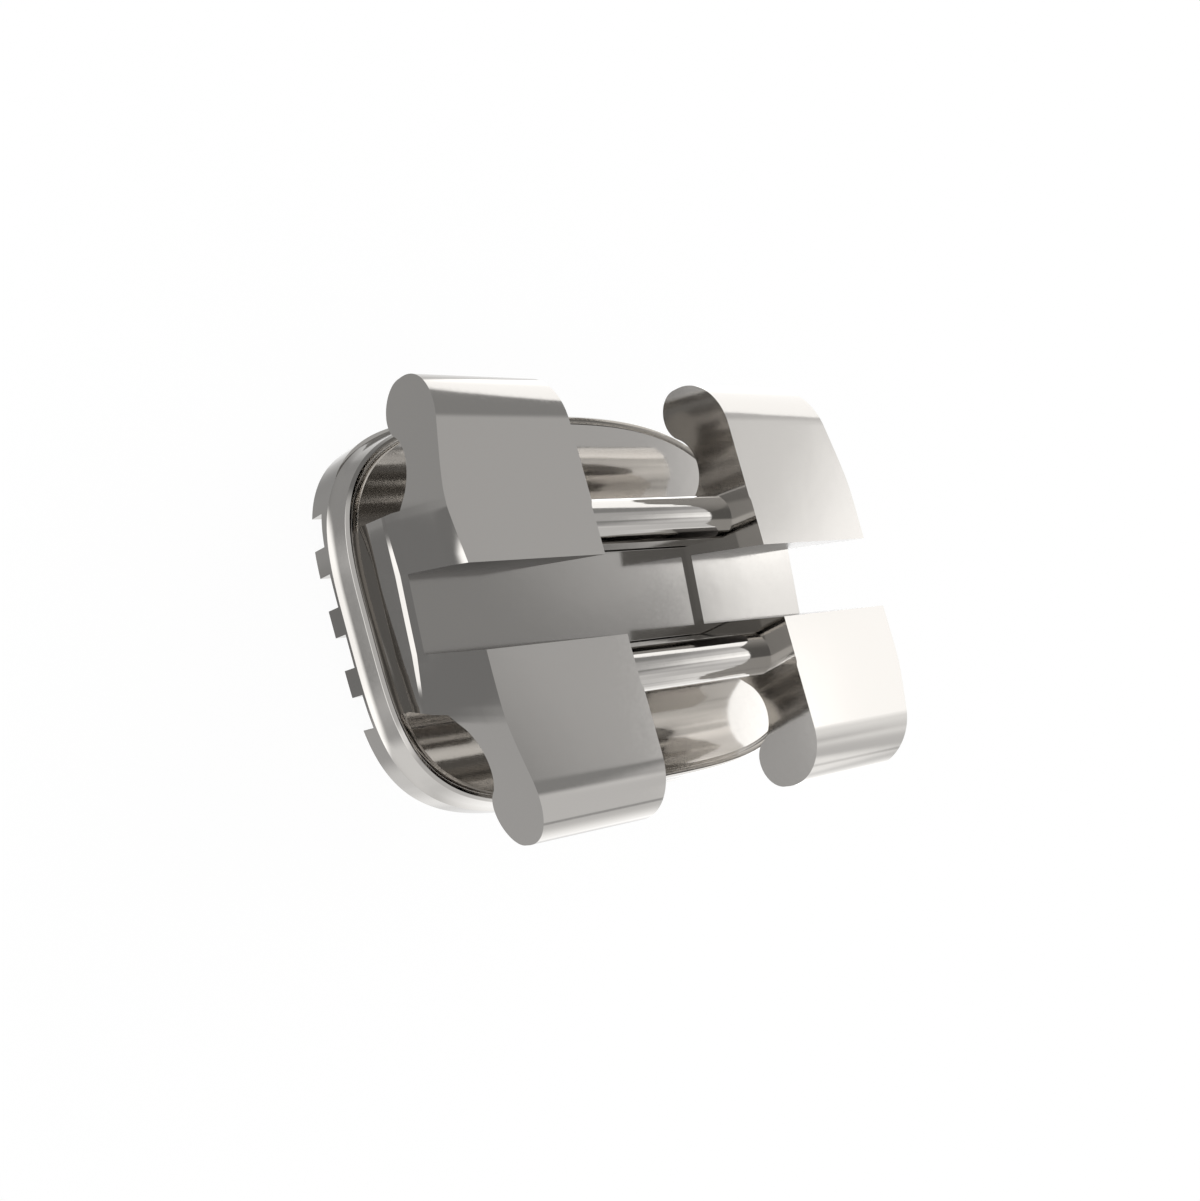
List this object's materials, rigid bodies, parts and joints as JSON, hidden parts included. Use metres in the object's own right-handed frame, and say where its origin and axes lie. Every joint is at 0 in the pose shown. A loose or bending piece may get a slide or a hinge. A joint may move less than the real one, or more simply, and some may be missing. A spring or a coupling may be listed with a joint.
{
  "type": "orthodontic bracket",
  "caption": "Twin tie-wing orthodontic bracket: torqued rectangular archwire slot, rounded bonding pad with retention posts behind it.",
  "frame": {"origin": "middle of the bonding face, on the plane of the retention posts' feet", "axes": "+Z away from the tooth, normal to the bonding face; +X along the archwire slot; +Y up the tooth, towards the wings whose slot wall leans forward by the torque"},
  "size_m": [0.0042, 0.0033, 0.0019],
  "materials": {
    "steel": "polished stainless steel"
  },
  "bodies": {
    "root": {"bracket": "steel"}
  },
  "joints": []
}
